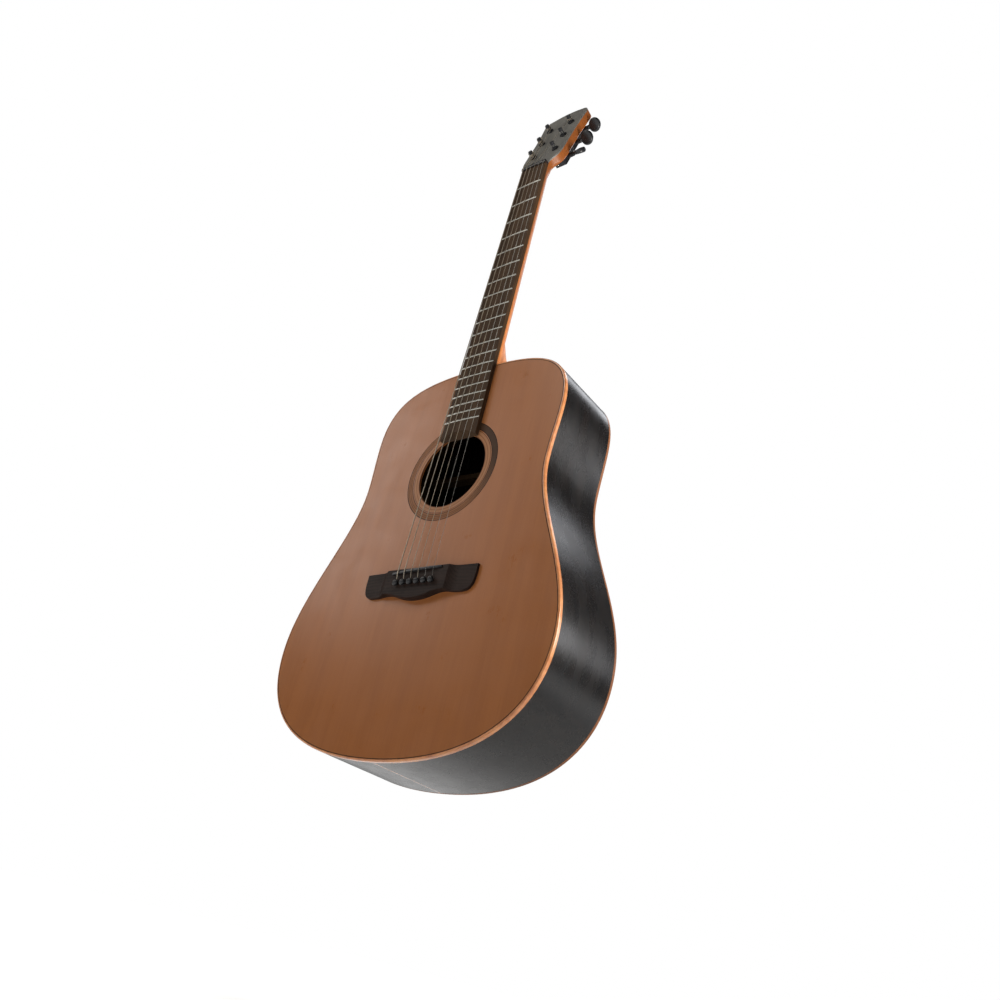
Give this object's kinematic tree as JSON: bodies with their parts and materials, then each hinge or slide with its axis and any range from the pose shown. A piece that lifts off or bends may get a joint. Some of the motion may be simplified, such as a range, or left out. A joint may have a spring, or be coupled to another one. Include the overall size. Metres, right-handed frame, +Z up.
{
  "type": "acoustic guitar",
  "caption": "Steel-string dreadnought acoustic guitar with a cedar top, black sides, wood binding, geared tuners and bridge pins, for playing or display.",
  "frame": {"origin": "the tail end of the soundboard's face, on the centre line, where the rim rests on a stand", "axes": "+Z up the neck towards the headstock, -Y out of the soundboard's face, +X to the treble side"},
  "size_m": [0.405, 0.134, 1.0247],
  "materials": {
    "cedar_top": "satin",
    "black_wood": "satin lacquer",
    "copper_wood": "satin",
    "rosewood": "oiled",
    "pale_ring": "satin",
    "spruce": "bare",
    "mahogany": "satin",
    "grey_veneer": "satin",
    "steel": "worn",
    "pearl": "gloss",
    "black_plastic": "semi-gloss",
    "brass": "plain",
    "bronze_wound": "wound",
    "plain_steel": "drawn",
    "black_metal": "semi-gloss"
  },
  "bodies": {
    "guitar": {"soundboard": "cedar_top", "back_plate": "black_wood", "side_bass": "black_wood", "side_treble": "black_wood", "binding_top": "copper_wood", "binding_back": "copper_wood", "purfling_top": "rosewood", "lining_top": "spruce", "lining_back": "spruce", "neck_block": "mahogany", "end_block": "mahogany", "end_graft": "copper_wood", "x_braces": "spruce", "tone_bars": "spruce", "upper_brace": "spruce", "bridge_plate": "rosewood", "back_braces": "spruce", "back_seam_strip": "spruce", "rosette_outer": "rosewood", "rosette_inner": "pale_ring", "neck": "mahogany", "heel_cap": "copper_wood", "headstock_veneer": "grey_veneer", "fingerboard": "rosewood", "frets": "steel", "side_dots": "pearl", "nut": "black_plastic", "truss_rod": "steel", "neck_bolts": "steel", "bridge": "rosewood", "saddle": "black_plastic", "string_1": "bronze_wound", "string_2": "bronze_wound", "string_3": "bronze_wound", "string_4": "bronze_wound", "string_5": "plain_steel", "string_6": "plain_steel", "tuner_housings": "black_metal", "tuner_bushings": "black_metal", "tuner_screws": "steel"},
    "truss_nut": {"truss_rod_nut": "brass"},
    "pin_1": {"bridge_pin_1": "black_plastic"},
    "pin_2": {"bridge_pin_2": "black_plastic"},
    "pin_3": {"bridge_pin_3": "black_plastic"},
    "pin_4": {"bridge_pin_4": "black_plastic"},
    "pin_5": {"bridge_pin_5": "black_plastic"},
    "pin_6": {"bridge_pin_6": "black_plastic"},
    "key_1": {"tuner_button_1": "black_metal"},
    "post_1": {"tuner_post_1": "black_metal"},
    "key_2": {"tuner_button_2": "black_metal"},
    "post_2": {"tuner_post_2": "black_metal"},
    "key_3": {"tuner_button_3": "black_metal"},
    "post_3": {"tuner_post_3": "black_metal"},
    "key_4": {"tuner_button_4": "black_metal"},
    "post_4": {"tuner_post_4": "black_metal"},
    "key_5": {"tuner_button_5": "black_metal"},
    "post_5": {"tuner_post_5": "black_metal"},
    "key_6": {"tuner_button_6": "black_metal"},
    "post_6": {"tuner_post_6": "black_metal"}
  },
  "joints": [
    {"name": "truss_nut_turn", "type": "hinge", "parent": "guitar", "child": "truss_nut", "pos_m": [0, 0.0088, 0.491], "axis": [0, 0, 1], "range_deg": [-360, 360]},
    {"name": "pin_1_pull", "type": "slide", "parent": "guitar", "child": "pin_1", "axis": [0, -1, 0], "range_m": [0, 0.03]},
    {"name": "pin_2_pull", "type": "slide", "parent": "guitar", "child": "pin_2", "axis": [0, -1, 0], "range_m": [0, 0.03]},
    {"name": "pin_3_pull", "type": "slide", "parent": "guitar", "child": "pin_3", "axis": [0, -1, 0], "range_m": [0, 0.03]},
    {"name": "pin_4_pull", "type": "slide", "parent": "guitar", "child": "pin_4", "axis": [0, -1, 0], "range_m": [0, 0.03]},
    {"name": "pin_5_pull", "type": "slide", "parent": "guitar", "child": "pin_5", "axis": [0, -1, 0], "range_m": [0, 0.03]},
    {"name": "pin_6_pull", "type": "slide", "parent": "guitar", "child": "pin_6", "axis": [0, -1, 0], "range_m": [0, 0.03]},
    {"name": "key_1_turn", "type": "hinge", "parent": "guitar", "child": "key_1", "pos_m": [-0.03, 0.02797, 0.9087], "axis": [-1, 0, 0], "continuous": true},
    {"name": "post_1_turn", "type": "hinge", "parent": "guitar", "child": "post_1", "pos_m": [-0.0195, 0.00368, 0.90661], "axis": [0, -0.9744, 0.225], "continuous": true, "deforming": ["string_1"]},
    {"name": "key_2_turn", "type": "hinge", "parent": "guitar", "child": "key_2", "pos_m": [-0.03, 0.03697, 0.94767], "axis": [-1, 0, 0], "continuous": true},
    {"name": "post_2_turn", "type": "hinge", "parent": "guitar", "child": "post_2", "pos_m": [-0.0195, 0.01267, 0.94558], "axis": [0, -0.9744, 0.225], "continuous": true, "deforming": ["string_2"]},
    {"name": "key_3_turn", "type": "hinge", "parent": "guitar", "child": "key_3", "pos_m": [-0.03, 0.04596, 0.98665], "axis": [-1, 0, 0], "continuous": true},
    {"name": "post_3_turn", "type": "hinge", "parent": "guitar", "child": "post_3", "pos_m": [-0.0195, 0.02167, 0.98456], "axis": [0, -0.9744, 0.225], "continuous": true, "deforming": ["string_3"]},
    {"name": "key_4_turn", "type": "hinge", "parent": "guitar", "child": "key_4", "pos_m": [0.03, 0.04596, 0.98665], "axis": [1, 0, 0], "continuous": true},
    {"name": "post_4_turn", "type": "hinge", "parent": "guitar", "child": "post_4", "pos_m": [0.0195, 0.02167, 0.98456], "axis": [0, -0.9744, 0.225], "continuous": true, "deforming": ["string_4"]},
    {"name": "key_5_turn", "type": "hinge", "parent": "guitar", "child": "key_5", "pos_m": [0.03, 0.03697, 0.94767], "axis": [1, 0, 0], "continuous": true},
    {"name": "post_5_turn", "type": "hinge", "parent": "guitar", "child": "post_5", "pos_m": [0.0195, 0.01267, 0.94558], "axis": [0, -0.9744, 0.225], "continuous": true, "deforming": ["string_5"]},
    {"name": "key_6_turn", "type": "hinge", "parent": "guitar", "child": "key_6", "pos_m": [0.03, 0.02797, 0.9087], "axis": [1, 0, 0], "continuous": true},
    {"name": "post_6_turn", "type": "hinge", "parent": "guitar", "child": "post_6", "pos_m": [0.0195, 0.00368, 0.90661], "axis": [0, -0.9744, 0.225], "continuous": true, "deforming": ["string_6"]}
  ],
  "couplings": [
    {"joint": "post_1_turn", "follows": "key_1_turn", "ratio": -0.055556},
    {"joint": "post_2_turn", "follows": "key_2_turn", "ratio": -0.055556},
    {"joint": "post_3_turn", "follows": "key_3_turn", "ratio": -0.055556},
    {"joint": "post_4_turn", "follows": "key_4_turn", "ratio": 0.055556},
    {"joint": "post_5_turn", "follows": "key_5_turn", "ratio": 0.055556},
    {"joint": "post_6_turn", "follows": "key_6_turn", "ratio": 0.055556}
  ]
}
